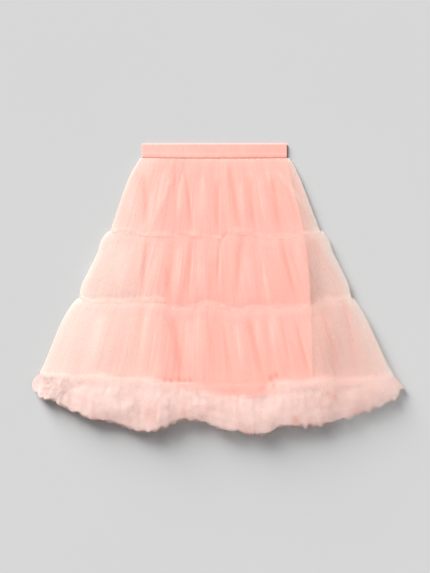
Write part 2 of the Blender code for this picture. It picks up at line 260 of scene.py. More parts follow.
# The lining: half widths and the height that it lies at, in millimetres
LiningSection = namedtuple("LiningSection", "share left right height")
LINING_SECTIONS = (
    LiningSection(0.00, 160, 160, 1.6),
    LiningSection(0.05, 165, 168, 3.8),
    LiningSection(0.12, 168, 176, 4.4),
    LiningSection(0.34, 172, 203, 5.6),
    LiningSection(0.58, 174, 216, 6.8),
    LiningSection(1.00, 182, 222, 8.0),
)
LINING_LENGTH = 505 * MM
LINING_THICKNESS = 2.4 * MM
# How far the lining hangs at its front hem
LiningHem = namedtuple("LiningHem", "across down")
LINING_HEM = (
    LiningHem(-182, 543),
    LiningHem(-120, 556),
    LiningHem(-45, 560),
    LiningHem(-10, 570),
    LiningHem(50, 578),
    LiningHem(110, 568),
    LiningHem(160, 556),
    LiningHem(222, 546),
)

# The ribs of the hem ruffle: where each leaves the hem seam, and where its outer edge lies, in millimetres
Rib = namedtuple("Rib", "root edge_across edge_down")
RUFFLE_RIBS = (
    Rib(-388, -399, 562),
    Rib(-382, -396, 572),
    Rib(-366, -384, 576),
    Rib(-348, -364, 578),
    Rib(-330, -349, 588),
    Rib(-300, -313, 603),
    Rib(-262, -272, 622),
    Rib(-226, -233, 627),
    Rib(-190, -195, 641),
    Rib(-160, -168, 650),
    Rib(-128, -130, 645),
    Rib(-95, -97, 632),
    Rib(-62, -62, 622),
    Rib(-28, -28, 626),
    Rib(8, 8, 640),
    Rib(45, 46, 648),
    Rib(80, 82, 656),
    Rib(112, 116, 653),
    Rib(146, 150, 639),
    Rib(184, 190, 637),
    Rib(216, 224, 635),
    Rib(250, 262, 627),
    Rib(286, 304, 618),
    Rib(320, 345, 605),
    Rib(352, 385, 586),
    Rib(380, 413, 573),
    Rib(396, 419, 555),
)
# How high the ruffle stands along its depth, in millimetres
PuffPoint = namedtuple("PuffPoint", "share height")
RUFFLE_PUFF = (
    PuffPoint(0.00, 26),
    PuffPoint(0.16, 32),
    PuffPoint(0.40, 37),
    PuffPoint(0.72, 37),
    PuffPoint(0.90, 35),
    PuffPoint(1.00, 30),
)

# Where a deeper colour shows through the nets, or a paler one, below 0
Patch = namedtuple("Patch", "across down half_width half_height depth")
RUFFLE_PATCHES = (
    Patch(-141, 606, 18, 26, 0.35),
    Patch(-66, 612, 16, 24, 0.35),
    Patch(74, 648, 18, 7, 0.45),
    Patch(181, 626, 9, 16, 0.80),
    Patch(224, 630, 20, 8, 0.35),
    Patch(320, 606, 16, 9, 0.35),
    Patch(-20, 600, 12, 9, 0.35),
    Patch(-265, 612, 16, 7, 0.30),
    Patch(126, 528, 5, 8, 0.90),
    Patch(138, 522, 6, 7, 0.90),
    Patch(132, 542, 5, 9, 0.60),
    Patch(256, 562, 4, 6, 0.90),
    Patch(272, 571, 4, 7, 0.90),
    Patch(-111, 531, 4, 6, 0.50),
    Patch(-99, 533, 3, 5, 0.80),
    Patch(-80, 530, 5, 6, 0.60),
    Patch(-66, 533, 3, 4, 0.80),
    Patch(-54, 532, 4, 5, 0.60),
    Patch(-84, 540, 44, 2, -0.60),
)


def smooth_curve(at, places, values):
    """Values read at the given places from a smooth curve that never overshoots its points."""
    places, values = np.asarray(places, float), np.asarray(values, float)
    steps = np.diff(places)
    rises = np.diff(values) / steps
    slopes = np.zeros(len(values))
    slopes[0], slopes[-1] = rises[0], rises[-1]
    same_way = rises[:-1] * rises[1:] > 0
    inner = 2 * rises[:-1] * rises[1:] / np.where(same_way, rises[:-1] + rises[1:], 1)
    slopes[1:-1] = np.where(same_way, inner, 0)
    at = np.clip(at, places[0], places[-1])
    k = np.clip(np.searchsorted(places, at, side="right") - 1, 0, len(steps) - 1)
    t = (at - places[k]) / steps[k]
    return (
        values[k] * (1 + 2 * t) * (1 - t) ** 2
        + slopes[k] * steps[k] * t * (1 - t) ** 2
        + values[k + 1] * t * t * (3 - 2 * t)
        + slopes[k + 1] * steps[k] * t * t * (t - 1)
    )


def column(rows, name):
    return [getattr(row, name) for row in rows]


def read(rows, name, at, by="share"):
    """A named column of a table in millimetres, read along its `by` column and given in metres."""
    return smooth_curve(at, column(rows, by), column(rows, name)) * MM


def seam_line(seam, x):
    return read(seam, "down", x / MM, by="across")


def ease(t):
    t = np.clip(t, 0, 1)
    return t * t * (3 - 2 * t)


def spread(values, count, wrap=False):
    """Rows of values spread smoothly over a given count of rows."""
    at = np.linspace(0, len(values) - (0 if wrap else 1), count, endpoint=not wrap)
    k = at.astype(int)
    t = ease(at - k)[:, None]
    following = (k + 1) % len(values) if wrap else np.minimum(k + 1, len(values) - 1)
    return values[k] * (1 - t) + values[following] * t


def noise(seed, rows, columns, down, across):
    """Smooth noise from -1 to 1 on a grid that closes on itself across, with cells as given."""
    lattice = np.random.default_rng(seed).uniform(-1, 1, (down + 1, across))
    return spread(spread(lattice, rows).T, columns, wrap=True).T


def blend(fields, **weights):
    """The sum of the named fields of noise, each times its weight."""
    return sum(weight * getattr(fields, name) for name, weight in weights.items())


# The columns of a flattened tube: the share across, how far each has turned under, from 0 on the front to 1
# on the back, which side fold it is in, how level it lies, from 1 on the front to -1 on the back, how far it
# bulges out at its fold, and how much it belongs to the back
Ring = namedtuple("Ring", "share turn side level bulge back")


def ring(front, fold, back):
    arc = np.linspace(0, 1, fold + 1)[1:-1]
    share = np.concatenate([np.linspace(0, 1, front + 1), arc * 0 + 1, np.linspace(1, 0, back + 1), arc * 0])
    turn = np.concatenate([np.zeros(front + 1), arc, np.ones(back + 1), 1 - arc])
    side = np.concatenate([np.zeros(front + 1), arc * 0 + 1, np.zeros(back + 1), arc * 0 - 1])
    level = np.cos(math.pi * turn)
    return Ring(share, turn, side, level, side * np.sin(math.pi * turn), 0.5 - 0.5 * level)


def wrapped(shape, front, side, back):
    """Heights round a tube, from those of its front, side fold and back, and none below the surface."""
    z = side + np.where(shape.level > 0, (front - side) * shape.level, (side - back) * shape.level)
    return np.maximum(z, FLOOR_CLEARANCE)


def bell(distance, half_width):
    return np.exp(-((distance / half_width) ** 2))


# The shares of its span over which a crease rises and fades
CREASE_RISE, CREASE_FADE = 0.22, 0.5


def crease_shape(creases, x, down):
    """The height that the creases add at x, down from a tier's upper seam (0) to its lower one (1)."""
    height = np.zeros(np.broadcast(x, down).shape)
    for crease in creases:
        middle = (crease.upper + (crease.lower - crease.upper) * down) * MM
        span = crease.end - crease.start
        rising = ease((down - crease.start) / (CREASE_RISE * span))
        fading = ease((crease.end - down) / (CREASE_FADE * span))
        height += crease.height * MM * (rising * fading) * bell(x - middle, crease.width * MM)
    return height


def grid_normals(points):
    across = np.roll(points, -1, axis=1) - np.roll(points, 1, axis=1)
    down = np.gradient(points, axis=0)
    normals = np.cross(down, across)
    return normals / np.maximum(np.linalg.norm(normals, axis=2, keepdims=True), 1e-12)


# The least that a net's normal counts as pointing up, and the most that a net hides where it lies flat
LEAST_UPRIGHT, MOST_COVER = 0.22, 0.97


def covering(points, cover):
    """How much a net hides, seen from above, where it covers the given share when it lies flat. It hides
    more where it stands on edge, because there is more of it."""
    upright = np.clip(abs(grid_normals(points)[:, :, 2]), LEAST_UPRIGHT, 1)
    return 1 - (1 - np.clip(cover, 0, MOST_COVER)) ** (1 / upright)


def calm_normals(points, calm):
    """Normals that lean less than the surface does, because a net's threads scatter light all ways."""
    normals = grid_normals(points)
    upright = np.where(normals[:, :, 2:] < 0, -1.0, 1.0) * np.array([0, 0, 1.0])
    calm = np.broadcast_to(calm, normals.shape[:2])[:, :, None]
    mixed = normals * (1 - calm) + upright * calm
    return mixed / np.linalg.norm(mixed, axis=2, keepdims=True)


def closed_grid(name, points, attributes=None, calm=None):
    """A mesh tube from rows and columns of points. The columns close on themselves."""
    rows, columns = points.shape[:2]
    index = np.arange(rows * columns).reshape(rows, columns)
    after = np.roll(index, -1, axis=1)
    quads = np.stack([index[:-1], index[1:], after[1:], after[:-1]], axis=-1).reshape(-1, 4)
    mesh = bpy.data.meshes.new(name)
    mesh.vertices.add(rows * columns)
    mesh.loops.add(quads.size)
    mesh.polygons.add(len(quads))
    mesh.vertices.foreach_set("co", points.reshape(-1, 3).astype(np.float32).ravel())
    mesh.loops.foreach_set("vertex_index", quads.ravel().astype(np.int32))
    mesh.polygons.foreach_set("loop_start", (np.arange(len(quads)) * 4).astype(np.int32))
    mesh.update(calc_edges=True)
    mesh.validate()
    mesh.shade_smooth()
    if calm is not None:
        mesh.normals_split_custom_set_from_vertices(calm_normals(points, calm).reshape(-1, 3))
    for key, values in (attributes or {}).items():
        attribute = mesh.attributes.new(key, "FLOAT", "POINT")
        filled = np.broadcast_to(values, (rows, columns)).astype(np.float32)
        attribute.data.foreach_set("value", filled.ravel())
    obj = bpy.data.objects.new(name, mesh)
    bpy.context.scene.collection.objects.link(obj)
    return obj


def place(x, y, z):
    """Points from places across and down from the middle of the waist, and up from the surface."""
    x, y, z = np.broadcast_arrays(x, y, z)
    return np.stack([MIDDLE + x, WAIST - y, z], axis=-1)


def lining_top(down_place):
    """The height of the lining's upper face at a distance below the waist."""
    return read(LINING_SECTIONS, "height", (down_place - BAND_DEPTH) / LINING_LENGTH) + LINING_THICKNESS


# How far a tier's cloth goes past a seam, and past the hem seam under the ruffle
SEAM_ALLOWANCE, HEM_ALLOWANCE = 1.2 * MM, 14 * MM
# The last tier's sections end at the hem seam, before its cloth does
HEM_SHARE = 1.085
# How far inside the outer net a net right on the lining would lie
NET_INSET = 6 * MM
# How much of its height over the waistband the front loses at the sides
DROOP = 0.35
WAIST_CROWN = 5.8 * MM


def tube_shape(tier, shape, down, inward):
    """Places across and down on a tier's tube, with the heights of its front and side fold."""
    share = np.minimum(1, HEM_SHARE * down) if tier.number == 3 else down
    left, right = read(tier.sections, "left", share), read(tier.sections, "right", share)
    crown, side = read(tier.sections, "crown", share), read(tier.sections, "side", share)
    fold = (crown - side) * (1 - 0.5 * inward)
    left, right = left - inward * NET_INSET, right - inward * NET_INSET
    flat = -(left - fold) + shape.share * (left + right - 2 * fold)
    x = flat + fold * shape.bulge
    droop = DROOP * (crown - WAIST_CROWN) * (x / np.where(x < 0, left, right)) ** 2
    upper, lower = (
        seam_line(front_seam, x) * (1 - shape.back) + seam_line(back_seam, x) * shape.back
        for front_seam, back_seam in zip(tier.front_seams, tier.back_seams)
    )
    above = 0 if tier.number == 1 else SEAM_ALLOWANCE
    below = HEM_ALLOWANCE if tier.number == 3 else SEAM_ALLOWANCE
    y = upper - above + (lower - upper + above + below) * down
    return x, y, crown - droop, side


def patches(x, y):
    """How much the patches deepen the colour."""
    deeper = np.zeros(np.broadcast(x, y).shape)
    for patch in RUFFLE_PATCHES:
        u = (x - patch.across * MM) / (patch.half_width * MM)
        v = (y - patch.down * MM) / (patch.half_height * MM)
        deeper += patch.depth * np.exp(-((u * u + v * v) ** 1.5))
    return deeper


# Where each tier starts and ends at the sides, in millimetres below the waist
SIDE_SEAMS = (32, 205, 357, 530)
# In the joined list of sections each place is this much further down, so that no two are the same
SECTION_STEP = 0.01


def half_widths(y):
    """The skirt's own half widths at a distance below the waist."""
    downs, lefts, rights = [], [], []
    for tier, upper, lower in zip(TIERS, SIDE_SEAMS, SIDE_SEAMS[1:]):
        for section in tier.sections:
            downs.append(upper + section.share * (lower - upper) + SECTION_STEP * len(downs))
            lefts.append(section.left)
            rights.append(section.right)
    return smooth_curve(y / MM, downs, lefts) * MM, smooth_curve(y / MM, downs, rights) * MM


# The painted highlight inside the left side fold, where the light falls: how far it reaches at first, where
# and by what share it widens, and how pale it is as it widens. Then the narrower painted highlight inside the
# right side fold
LEFT_REACH, LEFT_WIDENS_FROM, LEFT_WIDENS_BY = 17 * MM, 105 * MM, 0.19
LEFT_HIGHLIGHT, LEFT_HIGHLIGHT_FROM, LEFT_HIGHLIGHT_OVER = 0.66, 110 * MM, 190 * MM
RIGHT_REACH, RIGHT_WIDENS_FROM, RIGHT_WIDENS_BY, RIGHT_WIDENS_OVER = 9 * MM, 150 * MM, 13 * MM, 80 * MM
RIGHT_HIGHLIGHT = 0.9


def depth_with_painted_highlight(x, y):
    """How deep the net's colour is, with a painted highlight at the side folds, over a wider stretch at the
    left where the light falls.
    """
    left, right = half_widths(y)
    left_reach = LEFT_REACH + LEFT_WIDENS_BY * np.maximum(0, y - LEFT_WIDENS_FROM)
    left_highlight = LEFT_HIGHLIGHT + (1 - LEFT_HIGHLIGHT) * ease((y - LEFT_HIGHLIGHT_FROM) / LEFT_HIGHLIGHT_OVER)
    right_reach = RIGHT_REACH + RIGHT_WIDENS_BY * ease((y - RIGHT_WIDENS_FROM) / RIGHT_WIDENS_OVER)
    at_left = left_highlight * np.exp(-np.maximum(0, x + left) / left_reach)
    at_right = RIGHT_HIGHLIGHT * np.exp(-np.maximum(0, right - x) / right_reach)
    return 1 - (at_left + at_right)


# Where the lining ends at the right, how far that moves out lower down, and over what width the net opens
# there. Then the stretch at the left over which it closes
LINING_END, LINING_SHIFT, SHIFTED_FROM, SHIFTED_OVER = 190 * MM, 40 * MM, 350 * MM, 60 * MM
OPENS_OVER, CLOSES_FROM, CLOSES_OVER, FOLD_OVER = 50 * MM, -95 * MM, 55 * MM, 30 * MM
CLOSER_AT_LEFT, OPENER_AT_RIGHT, OPENER_AT_FOLD = 0.55, 0.38, 0.06


def left_of_lining(x):
    return ease((CLOSES_FROM - x) / CLOSES_OVER)


def side_cover(x, y):
    """How closely the net is bunched: more over the left side, and less over the right."""
    lining_end = LINING_END + LINING_SHIFT * ease((y - SHIFTED_FROM) / SHIFTED_OVER)
    past_lining = ease((x - lining_end) / OPENS_OVER)
    at_right_fold = ease((x - half_widths(y)[1] + FOLD_OVER) / FOLD_OVER)
    closer = CLOSER_AT_LEFT * left_of_lining(x)
    return 1 + closer - OPENER_AT_RIGHT * past_lining - OPENER_AT_FOLD * at_right_fold


# The gathers of a net as fields of noise
Waves = namedtuple("Waves", "broad narrow fine")
# How open the gathers are at a seam, and the shares of a tier's length over which they open and close
OPEN_AT_SEAM, OPENING, CLOSING = 0.25, 0.20, 0.22
# The shares over which the net is bunched below its upper seam and above its lower one
BUNCHED_BELOW, BUNCHED_ABOVE = 0.16, 0.08
# By how much, where and over what width the net lies calmer at the left
CALM_SHARE, CALM_FROM, CALM_OVER = 0.75, -135 * MM, 40 * MM
# How much of a crease's height the outer net takes, how much less the inner one, and how much the back
CREASED, CREASED_LESS, BACK_CREASED = 0.44, 0.22, 0.8
# The last tier is wider, so the creases of its back are spread more
BACK_SPREAD, LAST_BACK_SPREAD = 0.8, 0.62
# The gap that the outer net keeps to the lining, how much less the inner one, and how softly both come down
LINING_GAP, INNER_GAP, LANDING = 0.8 * MM, 0.4 * MM, 1.2 * MM
# The share of its height over the lining that a net keeps, and how far its gathers hang below the crown
KEPT_HEIGHT, HUNG_BELOW = 0.98, 0.3
# How far the innermost net would lie over the outer one on the back, and how far the side folds sway
INNER_BACK_LIFT, SWAY = 2 * MM, 1.4 * MM
# How much seams and creases add to the cover, and how much creases change the colour: painted shade deepens
# it in their troughs, where the lining also shows more, and a painted highlight pales it on their ridges
SEAM_COVER, CREASE_COVER, CREASE_SHADE = 0.22, 0.02, 0.08
# How thin the upper edge of a lower tier is under its heading, and how much less so at the left
EDGE_COVER, EDGE_COVER_LEFT = 0.30, 0.32
# The share of the last tier's length from which it thins out, as the ruffle takes over
FADE_FROM = 0.90
# The deepest that the colour goes, past its deep end
DEEPEST = 1.9
# How calm the shading is, how much calmer it gets, and where: from this share of the half width out to the
# side, and over this share of the length below the upper seam
CALM, CALMER, SIDE_FROM, SEAM_SHARE = 0.52, 0.34, 0.86, 0.28


def net_colour(tier, x, y, waves, near_seam, calm_side, creases):
    """How deep a tier's colour is, with random tone along its gathers, painted shade in its crease troughs, a
    painted highlight on their ridges, and what shows through it.
    """
    tone = blend(waves, broad=0.08, narrow=0.05 + 0.20 * near_seam, fine=0.03)
    # Painted shade in the crease troughs and a painted highlight on their ridges
    tone = tone * (0.12 + 0.88 * calm_side) - CREASE_SHADE * creases / MM
    if tier.number == 3:
        tone = tone + patches(x, y)
    return np.clip(depth_with_painted_highlight(x, y) + tone, 0, DEEPEST)


def net_calm(x, y, down):
    left, right = half_widths(y)
    at_side = ease((abs(x) / np.where(x < 0, left, right) - SIDE_FROM) / (1 - SIDE_FROM))
    return CALM + CALMER * np.maximum(at_side, 1 - ease(down / SEAM_SHARE))


def tier_net(tier, net):
    shape = ring(net.front, FOLD_COLUMNS, net.back)
    columns, rows = len(shape.share), net.rows + 1
    down = np.linspace(0, 1, rows)[:, None]
    x, y, top, side = tube_shape(tier, shape, down, net.inward)
    seed = 10 * tier.number + len(net.name)
    waves = Waves(
        broad=noise(seed, rows, columns, 1, tier.cells // 2),
        narrow=noise(seed + 1, rows, columns, 2, 2 * tier.cells),
        fine=noise(seed + 2, rows, columns, 2, 4 * tier.cells),
    )
    open_share = OPEN_AT_SEAM + (1 - OPEN_AT_SEAM) * ease(down / OPENING) * ease((1 - down) / CLOSING)
    near_seam = np.exp(-down / BUNCHED_BELOW) + 0.5 * np.exp(-(1 - down) / BUNCHED_ABOVE)
    calm_side = 1 - CALM_SHARE * ease((CALM_FROM - x) / CALM_OVER)
    depth = tier.depth * MM * open_share
    gathers = depth * blend(waves, broad=0.40, narrow=0.08) * calm_side
    gathers += 0.30 * MM * waves.fine * (0.5 + near_seam)
    creases = crease_shape(tier.creases, x, down)
    folded = creases * (CREASED - CREASED_LESS * net.inward) * calm_side

    bed = lining_top(y) + LINING_GAP - INNER_GAP * net.inward
    hung = (top - bed) * (1 - net.inward) + gathers + folded - HUNG_BELOW * depth
    front = bed + np.logaddexp(0, hung / LANDING) * LANDING * KEPT_HEIGHT
    back_spread = LAST_BACK_SPREAD if tier.number == 3 else BACK_SPREAD
    back_creases = crease_shape(BACK_CREASES, x * back_spread, down)
    lifted = np.maximum(0, gathers * 0.5 + back_creases * BACK_CREASED)
    back = FLOOR_CLEARANCE + net.inward * INNER_BACK_LIFT + lifted
    swayed = SWAY * waves.narrow * open_share * (1 - abs(shape.level)) * shape.side
    points = place(x + swayed, y, wrapped(shape, front, side, back))

    bunching = blend(waves, broad=0.15, narrow=0.09, fine=0.05) * calm_side
    bunching = bunching + SEAM_COVER * near_seam + CREASE_COVER * abs(creases) / MM
    cover = net.cover * (1 + bunching) * side_cover(x, y)
    if tier.number > 1:
        cover = cover * np.where(down == 0, EDGE_COVER + EDGE_COVER_LEFT * left_of_lining(x), 1)
    if tier.number == 3:
        cover = cover * (1 - ease((down - FADE_FROM) / (1 - FADE_FROM)))
    colour = net_colour(tier, x, y, waves, near_seam, calm_side, creases)
    attributes = {"cover": covering(points, cover), "depth": colour}
    return closed_grid(f"tier_{tier.number}_{net.name}", points, attributes, net_calm(x, y, down))


HEADING_SEED = 70
HEADING_ROWS = 9
# How far below its seam a heading starts, and its usual height
HEADING_OVERLAP, HEADING_HEIGHT = 3 * MM, 13 * MM
HEADING_COVER, HEADING_CALM = 0.27, 0.88
# How deep a heading's colour is, as a share of the colour round it
HEADING_DEPTH = 0.60
# How steep a seam is where its heading folds down, over what it does so, and by what share
STEEP_FROM, STEEP_OVER, FOLDED_DOWN = 0.25, 0.4, 0.8


def heading(tier, tier_above):
    """The gathered upper edge of a tier, which stands above its seam as a small frill."""
    shape = ring(620, FOLD_COLUMNS, 220)
    rows, columns = HEADING_ROWS, len(shape.share)
    height = np.linspace(0, 1, rows)[:, None]
    seed = HEADING_SEED + tier.number
    x, _, top, side = tube_shape(tier_above, shape, 1 - height * 0.06, 0)
    front_seam, back_seam = seam_line(tier.front_seams[0], x), seam_line(tier.back_seams[0], x)
    seam = front_seam * (1 - shape.back) + back_seam * shape.back
    longer = 1.05 + 0.28 * noise(seed, rows, columns, 1, 44) + 0.12 * noise(seed + 3, rows, columns, 1, 110)
    for puff in HEADING_PUFFS:
        if puff.tier == tier.number:
            longer = longer + puff.longer * bell(x / MM - puff.across, puff.half_width) * (1 - shape.back)
    waves = noise(seed + 1, rows, columns, 2, 120)
    frill = noise(seed + 2, rows, columns, 2, 60)
    y = seam + HEADING_OVERLAP - HEADING_HEIGHT * height * longer
    rise = (0.4 + 1.2 * np.sin(height * 2.4) + (0.2 * waves + 0.4 * frill) * height) * MM
    under = FLOOR_CLEARANCE + (0.5 + 0.5 * waves) * MM
    points = place(x, y, wrapped(shape, top + rise, side, under))

    steep = abs(np.gradient(seam[0]) / np.where(shape.turn > 0, 1, np.gradient(x[0])))
    standing = ease(height / 0.15) * (1 - 0.8 * ease((height - 0.55) / 0.45))
    standing = standing * (1 - FOLDED_DOWN * ease((steep - STEEP_FROM) / STEEP_OVER) * (1 - shape.back))
    cover = HEADING_COVER * standing * (1 + 0.25 * waves + 0.40 * frill) * side_cover(x, y)
    colour = np.clip(HEADING_DEPTH * depth_with_painted_highlight(x, y) + 0.08 * waves, 0, 1)
    attributes = {"cover": covering(points, cover), "depth": colour}
    return closed_grid(f"heading_{tier.number}_frill", points, attributes, HEADING_CALM)


BAND_SEED, LINING_SEED = 91, 51
# The waistband: its half width, the height of its middle, and the gap that it keeps to the first tier
BAND_HALF, BAND_MIDDLE, BAND_GAP = 164 * MM, 2.9 * MM, 0.3 * MM
# The line of stitching and the lower edge, as shares of the band's depth
STITCH_LINE, BAND_EDGE, LINE_WIDTH = 0.68, 0.96, 0.05


def thicken(piece, thickness):
    wall = piece.modifiers.new("wall", "SOLIDIFY")
    wall.thickness = thickness
    wall.offset = -1
    return piece


def waistband():
    shape = ring(300, 10, 160)
    rows, columns = 25, len(shape.share)
    down = np.linspace(0, 1, rows)[:, None]
    x = (shape.share * 2 - 1) * (BAND_HALF - BAND_MIDDLE) + BAND_MIDDLE * shape.bulge
    y = (seam_line(WAIST_SEAM, x) - BAND_GAP) * down
    ribs = noise(BAND_SEED, rows, columns, 2, 74) + 0.6 * noise(BAND_SEED + 1, rows, columns, 3, 150)
    stitched = bell(down - STITCH_LINE, LINE_WIDTH)
    edge = bell(down - BAND_EDGE, LINE_WIDTH)
    swell = (0.14 * ribs * (1 - 0.7 * stitched) + 0.10 * stitched - 0.35 * edge) * MM
    z = np.maximum(BAND_MIDDLE + (BAND_MIDDLE - 0.2 * MM + swell) * shape.level, FLOOR_CLEARANCE)
    # The band's tone: a painted highlight along the stitched ridge, its lower seam edge darker, tone from the
    # ribs, and painted shade towards the right
    to_right = ease(0.4 + 0.6 * x / BAND_HALF)
    paler = 0.30 * stitched - 0.9 * edge + 0.10 * ribs - 0.28 * to_right
    return thicken(closed_grid("waistband", place(x, y, z), {"stitched": paler}, calm=0.75), 1.0 * MM)


# The part of the lining's front hem that shows through the net: where it starts, ends and fades, how far down
# its thread edge and its lace lie, and how wide they are
HEM_FROM, HEM_TO, HEM_FADE = -130 * MM, -36 * MM, 12 * MM
THREAD_DOWN, THREAD_WIDTH = 540 * MM, 3 * MM
LACE_DOWN, LACE_WIDTH = 531 * MM, 7 * MM
# The pale stretches along the lining's left and right edges
LINING_PALE_LEFT, LINING_PALE_RIGHT = 60 * MM, 12 * MM


def lining():
    shape = ring(200, 8, 120)
    rows, columns = 90, len(shape.share)
    down = ease(np.linspace(0.5, 1, rows)[:, None]) * 2 - 1
    left, right = (read(LINING_SECTIONS, side, down) for side in ("left", "right"))
    height = read(LINING_SECTIONS, "height", down)
    fold = LINING_THICKNESS / 2
    x = -(left - fold) + shape.share * (left + right - 2 * fold) + fold * shape.bulge
    top_edge = seam_line(WAIST_SEAM, x)
    hem = seam_line(LINING_HEM, x) * (1 - shape.back) + (LINING_LENGTH + BAND_DEPTH) * shape.back
    y = top_edge + (hem - top_edge) * down
    wrinkles = 0.7 * noise(LINING_SEED, rows, columns, 4, 34)
    wrinkles = (wrinkles + 0.4 * noise(LINING_SEED + 1, rows, columns, 9, 60)) * ease(down / 0.1)
    z = height + fold + (fold + 0.8 * wrinkles * MM) * shape.level

    paler = 0.9 * (1 - ease((x + left) / LINING_PALE_LEFT))
    paler = paler + 0.3 * (1 - ease((right - x) / LINING_PALE_RIGHT))
    shown = ease((x - HEM_FROM) / HEM_FADE) * ease((HEM_TO - x) / HEM_FADE) * (1 - shape.back)
    thread = 0.6 * bell(y - THREAD_DOWN, THREAD_WIDTH)
    lace = np.clip(2 * noise(LINING_SEED + 2, rows, columns, 40, 120), 0, 1) * bell(y - LACE_DOWN, LACE_WIDTH)
    tube = closed_grid("lining_tube", place(x, y, z), {"edge": paler + (thread - 1.2 * lace) * shown})
    return thicken(tube, 0.4 * MM)


# The layers of the hem ruffle, from the top down: how high each puffs, where it starts and ends as shares of
# the ruffle's depth, how much it covers and how deep its colour is, deeper on the lower layers as painted
# shade under the upper ones
Layer = namedtuple("Layer", "name puff start reach cover depth")
RUFFLE_LAYERS = (
    Layer("ruffle_top", 1.00, -0.26, 0.95, 0.26, 0.02),
    Layer("ruffle_second", 0.86, -0.22, 0.98, 0.28, 0.04),
    Layer("ruffle_third", 0.72, -0.14, 0.94, 0.30, 0.06),
    Layer("ruffle_fourth", 0.58, -0.12, 1.00, 0.32, 0.12),
    Layer("ruffle_fifth", 0.44, -0.10, 0.97, 0.34, 0.30),
    Layer("ruffle_under", 0.30, -0.08, 1.00, 0.36, 0.40),
)
# Where the ruffle's ragged rim hangs lower
Tooth = namedtuple("Tooth", "across half_width drop")
RUFFLE_TEETH = (
    Tooth(-354, 6, 3),
    Tooth(-321, 5, 6),
    Tooth(-296, 7, 4),
    Tooth(-249, 9, 3),
    Tooth(-150, 6, 3),
    Tooth(-129, 5, 3),
    Tooth(-110, 5, 4),
    Tooth(111, 7, 4),
    Tooth(206, 5, 7),
    Tooth(223, 5, 2),
    Tooth(240, 6, 4),
    Tooth(269, 6, 4),
    Tooth(300, 5, 3),
    Tooth(350, 6, 4),
    Tooth(374, 6, 3),
    Tooth(406, 5, 3),
)
# Where the ruffle's cloud of net starts above or below the hem seam, in millimetres
CloudPoint = namedtuple("CloudPoint", "across rise")
CLOUD_TOP = (
    CloudPoint(-413, 6),
    CloudPoint(-370, 12),
    CloudPoint(-320, 4),
    CloudPoint(-262, 14),
    CloudPoint(-210, 4),
    CloudPoint(-165, 12),
    CloudPoint(-122, 0),
    CloudPoint(-33, -6),
    CloudPoint(46, -26),
    CloudPoint(100, -18),
    CloudPoint(136, 12),
    CloudPoint(190, 10),
    CloudPoint(237, 22),
    CloudPoint(282, 30),
    CloudPoint(350, 10),
    CloudPoint(431, 4),
)


def billows(seed, rows, columns, down, across):
    """Rounded puffs from -1 to 1 with valleys between them."""
    return 2 * np.sqrt(noise(seed, rows, columns, down, across) ** 2 + 0.10) - 1.1


RUFFLE_SEED = 300
RUFFLE_ROWS = 43
# The puffs of a layer of the ruffle as fields of noise
Puffs = namedtuple("Puffs", "large middling small wisps gathers")
# How far the ruffle's side folds reach out, and how high they lie
RUFFLE_FOLD, RUFFLE_SIDE = 9 * MM, 11 * MM
# The knob at the ruffle's left end: how far it stands out, over what share of the ruffle, and over what
# share the net lies closer there
KNOB, KNOB_SHARE, KNOB_CLOSER = 8 * MM, 0.02, 0.12
# The shares at the left and right end over which the puffs grow
LEFT_END, RIGHT_END = 0.09, 0.07
# How much lower the ruffle's crown lies towards its left and right end
LOWER_LEFT, LOWER_RIGHT = 0.42, 0.16
# How deep the upper edge of the cloud of net is, and the shares of the ruffle's depth at and over which it
# opens below its seam
CLOUD_DEPTH = 22 * MM
OPENS_AT, OPENS_WITHIN = 0.04, 0.32
# How far the back is drawn in at the rim, and the share of the depth where the rim starts
TUCK = 9 * MM
RIM_FROM = 0.80
# The distance over which each layer's cover starts, below its upper edge
COVER_START = 21 * MM
# Where, over what width and by how much painted shade darkens the ruffle towards the right
PAINTED_SHADE_FROM, PAINTED_SHADE_OVER, PAINTED_SHADE_RIGHT = 60 * MM, 240 * MM, 0.14


def ruffle_heights(layer, shape, x, t, puffs, ends, cloud):
    """The heights of a layer's front and back: gathered at the hem seam, and puffed out below it."""
    outward = np.clip(t, 0, 1)
    half = np.where(x < 0, TIER_3_SECTIONS[-1].left, TIER_3_SECTIONS[-1].right) * MM
    hem = read(TIER_3_SECTIONS, "crown", 1 + 0.62 * np.minimum(t, 0))
    hem = hem - DROOP * (hem - WAIST_CROWN) * np.minimum(1, x / half) ** 2
    gathered = hem + (2.5 * layer.puff - 3 * outward + 0.5 * puffs.gathers) * MM
    aside = shape.share * 2 - 1
    lower = np.where(aside < 0, LOWER_LEFT, LOWER_RIGHT) * aside**2
    crown = hem + (read(RUFFLE_PUFF, "height", outward) - RUFFLE_PUFF[0].height * MM) * (1 - 1.4 * lower)
    lumps = (blend(puffs, large=4.6, middling=1.7, small=0.3) - 1.2) * MM
    over_seam = (0.4 + blend(puffs, large=0.5, middling=0.2) * ends) * MM
    seated = gathered + over_seam * ease((t - layer.start) / 0.20)
    puffed = crown * layer.puff + lumps * (0.1 + 0.9 * ends)
    puffed = seated + (puffed - seated) * ease((t - OPENS_AT) / OPENS_WITHIN)
    lowered = 1 - 0.55 * (1 - ends) * ease(t / 0.5)
    front = RUFFLE_SIDE + (gathered + (puffed - gathered) * cloud - RUFFLE_SIDE) * lowered
    lifted = (1 - layer.puff) * 6 * MM + blend(puffs, large=1.5, middling=1.0) * MM
    return front, FLOOR_CLEARANCE + np.maximum(0, lifted)


